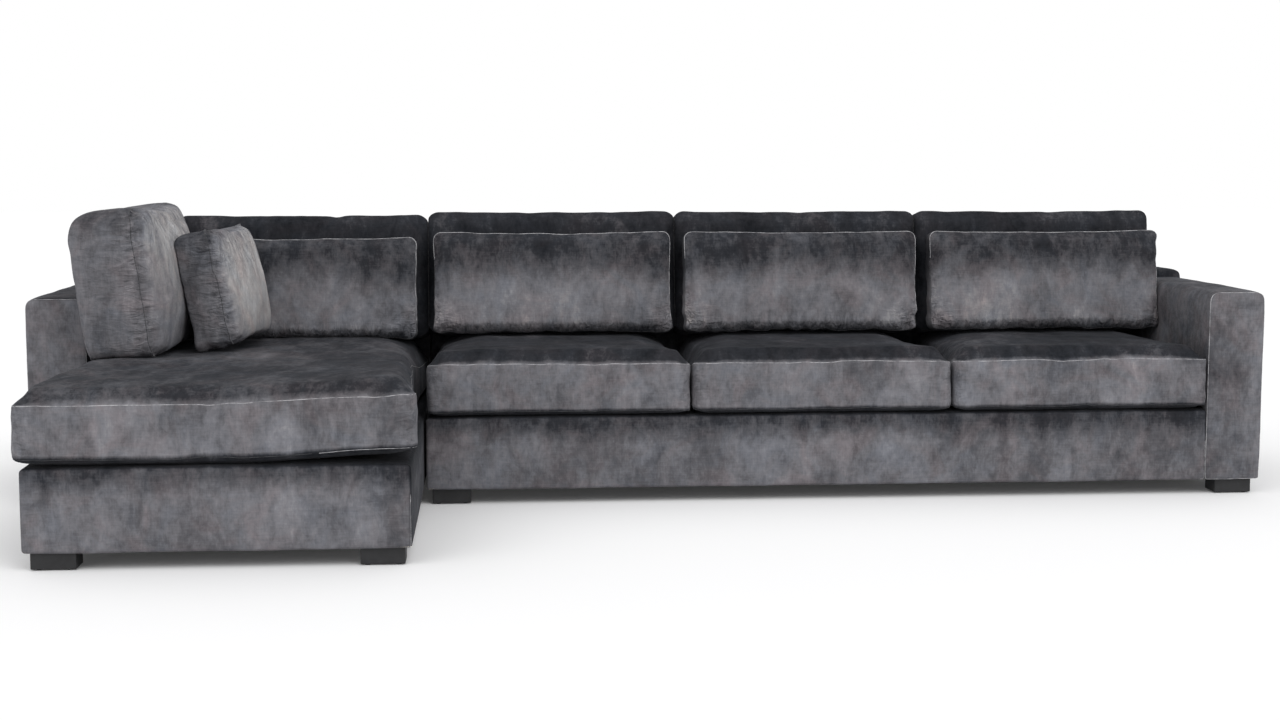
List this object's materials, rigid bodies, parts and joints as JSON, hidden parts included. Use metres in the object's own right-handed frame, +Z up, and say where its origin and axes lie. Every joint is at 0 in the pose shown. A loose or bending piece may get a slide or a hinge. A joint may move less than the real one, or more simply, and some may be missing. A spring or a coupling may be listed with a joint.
{
  "type": "sectional sofa with chaise",
  "caption": "Corner sofa with a chaise on the left, a hooked-on straight module with low box arms, and loose seat, back and lumbar cushions in crushed velvet.",
  "frame": {"origin": "on the floor, at the middle of the overall width and depth", "axes": "+X to the sofa's right seen from the front, +Y to its back, +Z up"},
  "size_m": [3.732, 1.765, 0.9092],
  "materials": {
    "velvet": "crushed velvet",
    "lining": "woven dust sheet",
    "foam": "open-cell foam",
    "timber": "sawn",
    "spring_steel": "oiled wire",
    "clip_plastic": "moulded",
    "zinc_steel": "zinc plated",
    "hook_steel": "black",
    "foot_black": "moulded"
  },
  "bodies": {
    "sofa": {"sofa_long_rails": "timber", "sofa_cross_rails": "timber", "sofa_corner_blocks": "timber", "sofa_springs": "spring_steel", "sofa_spring_clips": "clip_plastic", "sofa_deck_pad": "foam", "sofa_padding": "foam", "sofa_base_cover": "velvet", "sofa_dust_sheet": "lining", "sofa_back_frame": "timber", "sofa_back_cover": "velvet", "right_arm_frame": "timber", "right_arm_cover": "velvet", "hook_receivers": "hook_steel", "sofa_feet": "foot_black", "sofa_fasteners": "zinc_steel"},
    "chaise": {"chaise_side_rails": "timber", "chaise_cross_rails": "timber", "chaise_corner_blocks": "timber", "chaise_springs": "spring_steel", "chaise_spring_clips": "clip_plastic", "chaise_deck_pad": "foam", "chaise_padding": "foam", "chaise_base_cover": "velvet", "chaise_dust_sheet": "lining", "chaise_back_frame": "timber", "chaise_back_cover": "velvet", "left_arm_frame": "timber", "left_arm_cover": "velvet", "hook_tongues": "hook_steel", "chaise_feet": "foot_black", "chaise_fasteners": "zinc_steel"},
    "chaise_seat": {"chaise_seat_cover": "velvet", "chaise_seat_filling": "foam"},
    "seat_1": {"seat_1_cover": "velvet", "seat_1_filling": "foam"},
    "seat_2": {"seat_2_cover": "velvet", "seat_2_filling": "foam"},
    "seat_3": {"seat_3_cover": "velvet", "seat_3_filling": "foam"},
    "back_1": {"back_1_cover": "velvet", "back_1_filling": "foam"},
    "back_2": {"back_2_cover": "velvet", "back_2_filling": "foam"},
    "back_3": {"back_3_cover": "velvet", "back_3_filling": "foam"},
    "back_4": {"back_4_cover": "velvet", "back_4_filling": "foam"},
    "lumbar_1": {"lumbar_1_cover": "velvet", "lumbar_1_filling": "foam"},
    "lumbar_2": {"lumbar_2_cover": "velvet", "lumbar_2_filling": "foam"},
    "lumbar_3": {"lumbar_3_cover": "velvet", "lumbar_3_filling": "foam"},
    "lumbar_4": {"lumbar_4_cover": "velvet", "lumbar_4_filling": "foam"},
    "side_back": {"side_back_cover": "velvet", "side_back_filling": "foam"},
    "side_lumbar": {"side_lumbar_cover": "velvet", "side_lumbar_filling": "foam"}
  },
  "joints": [
    {"name": "chaise_unhook", "type": "slide", "parent": "sofa", "child": "chaise", "axis": [0, 0, 1], "range_m": [0, 0.08]},
    {"name": "chaise_seat_slide", "type": "slide", "parent": "chaise", "child": "chaise_seat", "axis": [0, -1, 0], "range_m": [0, 1.6]},
    {"name": "seat_1_slide", "type": "slide", "parent": "sofa", "child": "seat_1", "axis": [0, -1, 0], "range_m": [0, 0.75]},
    {"name": "seat_2_slide", "type": "slide", "parent": "sofa", "child": "seat_2", "axis": [0, -1, 0], "range_m": [0, 0.75]},
    {"name": "seat_3_slide", "type": "slide", "parent": "sofa", "child": "seat_3", "axis": [0, -1, 0], "range_m": [0, 0.75]},
    {"name": "back_1_lift", "type": "slide", "parent": "chaise", "child": "back_1", "axis": [0, 0.1392, 0.9903], "range_m": [0, 0.4]},
    {"name": "back_2_lift", "type": "slide", "parent": "sofa", "child": "back_2", "axis": [0, 0.1392, 0.9903], "range_m": [0, 0.4]},
    {"name": "back_3_lift", "type": "slide", "parent": "sofa", "child": "back_3", "axis": [0, 0.1392, 0.9903], "range_m": [0, 0.4]},
    {"name": "back_4_lift", "type": "slide", "parent": "sofa", "child": "back_4", "axis": [0, 0.1392, 0.9903], "range_m": [0, 0.4]},
    {"name": "lumbar_1_lift", "type": "slide", "parent": "chaise", "child": "lumbar_1", "axis": [0, 0.1392, 0.9903], "range_m": [0, 0.35]},
    {"name": "lumbar_2_lift", "type": "slide", "parent": "sofa", "child": "lumbar_2", "axis": [0, 0.1392, 0.9903], "range_m": [0, 0.35]},
    {"name": "lumbar_3_lift", "type": "slide", "parent": "sofa", "child": "lumbar_3", "axis": [0, 0.1392, 0.9903], "range_m": [0, 0.35]},
    {"name": "lumbar_4_lift", "type": "slide", "parent": "sofa", "child": "lumbar_4", "axis": [0, 0.1392, 0.9903], "range_m": [0, 0.35]},
    {"name": "side_back_lift", "type": "slide", "parent": "chaise_seat", "child": "side_back", "axis": [-0.1219, 0, 0.9925], "range_m": [0, 0.45]},
    {"name": "side_lumbar_lift", "type": "slide", "parent": "chaise_seat", "child": "side_lumbar", "axis": [0.4998, -0.2799, 0.8197], "range_m": [0, 0.4]}
  ]
}
